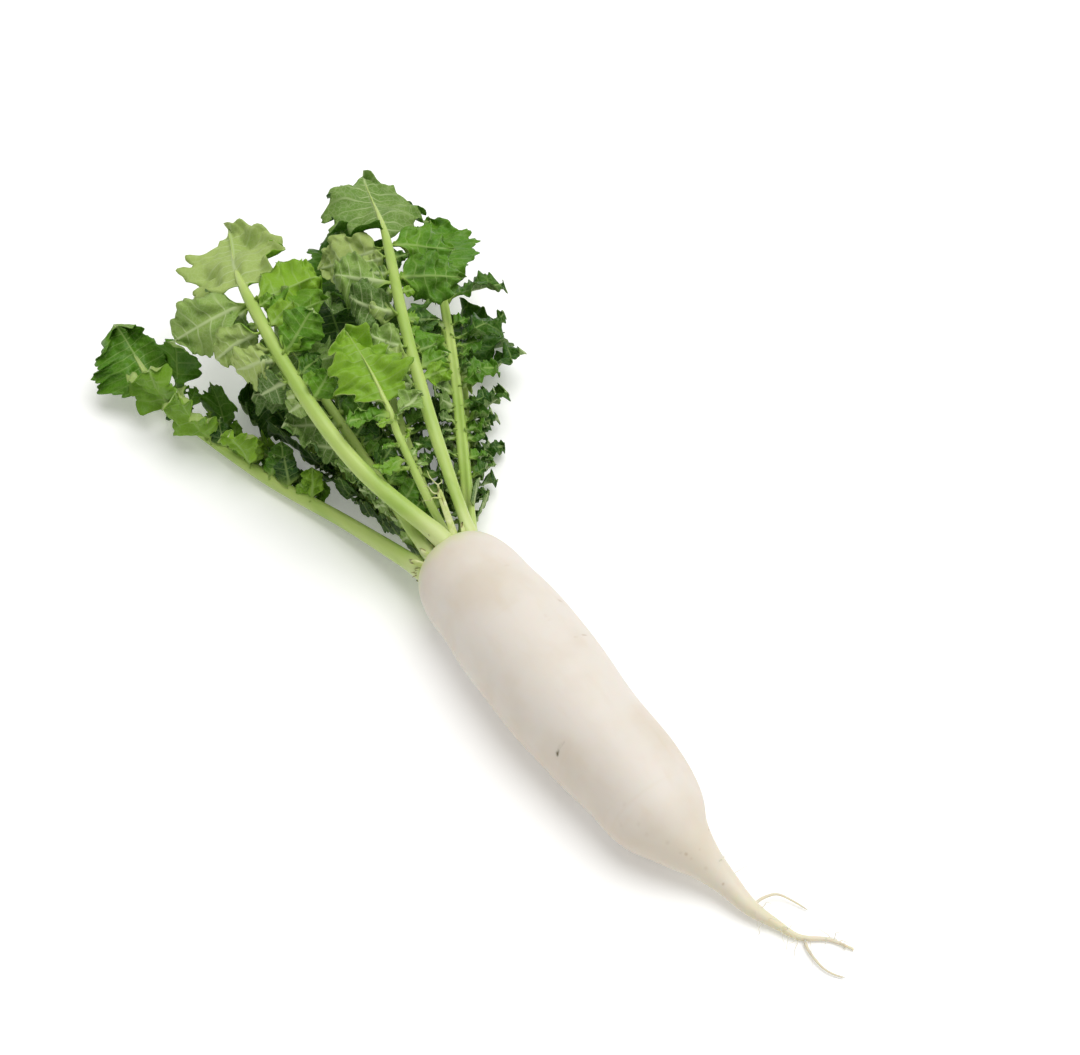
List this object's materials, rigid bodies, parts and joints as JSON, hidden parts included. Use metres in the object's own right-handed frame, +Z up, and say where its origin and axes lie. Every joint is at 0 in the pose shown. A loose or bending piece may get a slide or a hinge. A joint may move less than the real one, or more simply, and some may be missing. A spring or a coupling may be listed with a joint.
{
  "type": "daikon radish",
  "caption": "Long white daikon root with a tapering wavy tail, lying on its side, with toothed green leaves spread from its crown.",
  "frame": {"origin": "on the surface that the radish lies on, in the resting flat under the widest part of the root", "axes": "+X runs along the root from the crown to the tail, +Z is up, and +Y follows by the right hand"},
  "size_m": [0.636, 0.2654, 0.1184],
  "materials": {
    "root_skin": "smooth moist skin, cream white, with faint rings and pores",
    "leaf": "soft green blades with pale veins, pale green stalks"
  },
  "bodies": {
    "root": {"root": "root_skin", "leaf_outer_left": "leaf", "leaf_top_left": "leaf", "leaf_top_short": "leaf", "leaf_top_right": "leaf", "leaf_middle_left": "leaf", "leaf_middle": "leaf", "leaf_middle_right": "leaf", "leaf_lower_left": "leaf", "leaf_lower": "leaf", "leaf_lower_right": "leaf"}
  },
  "joints": []
}
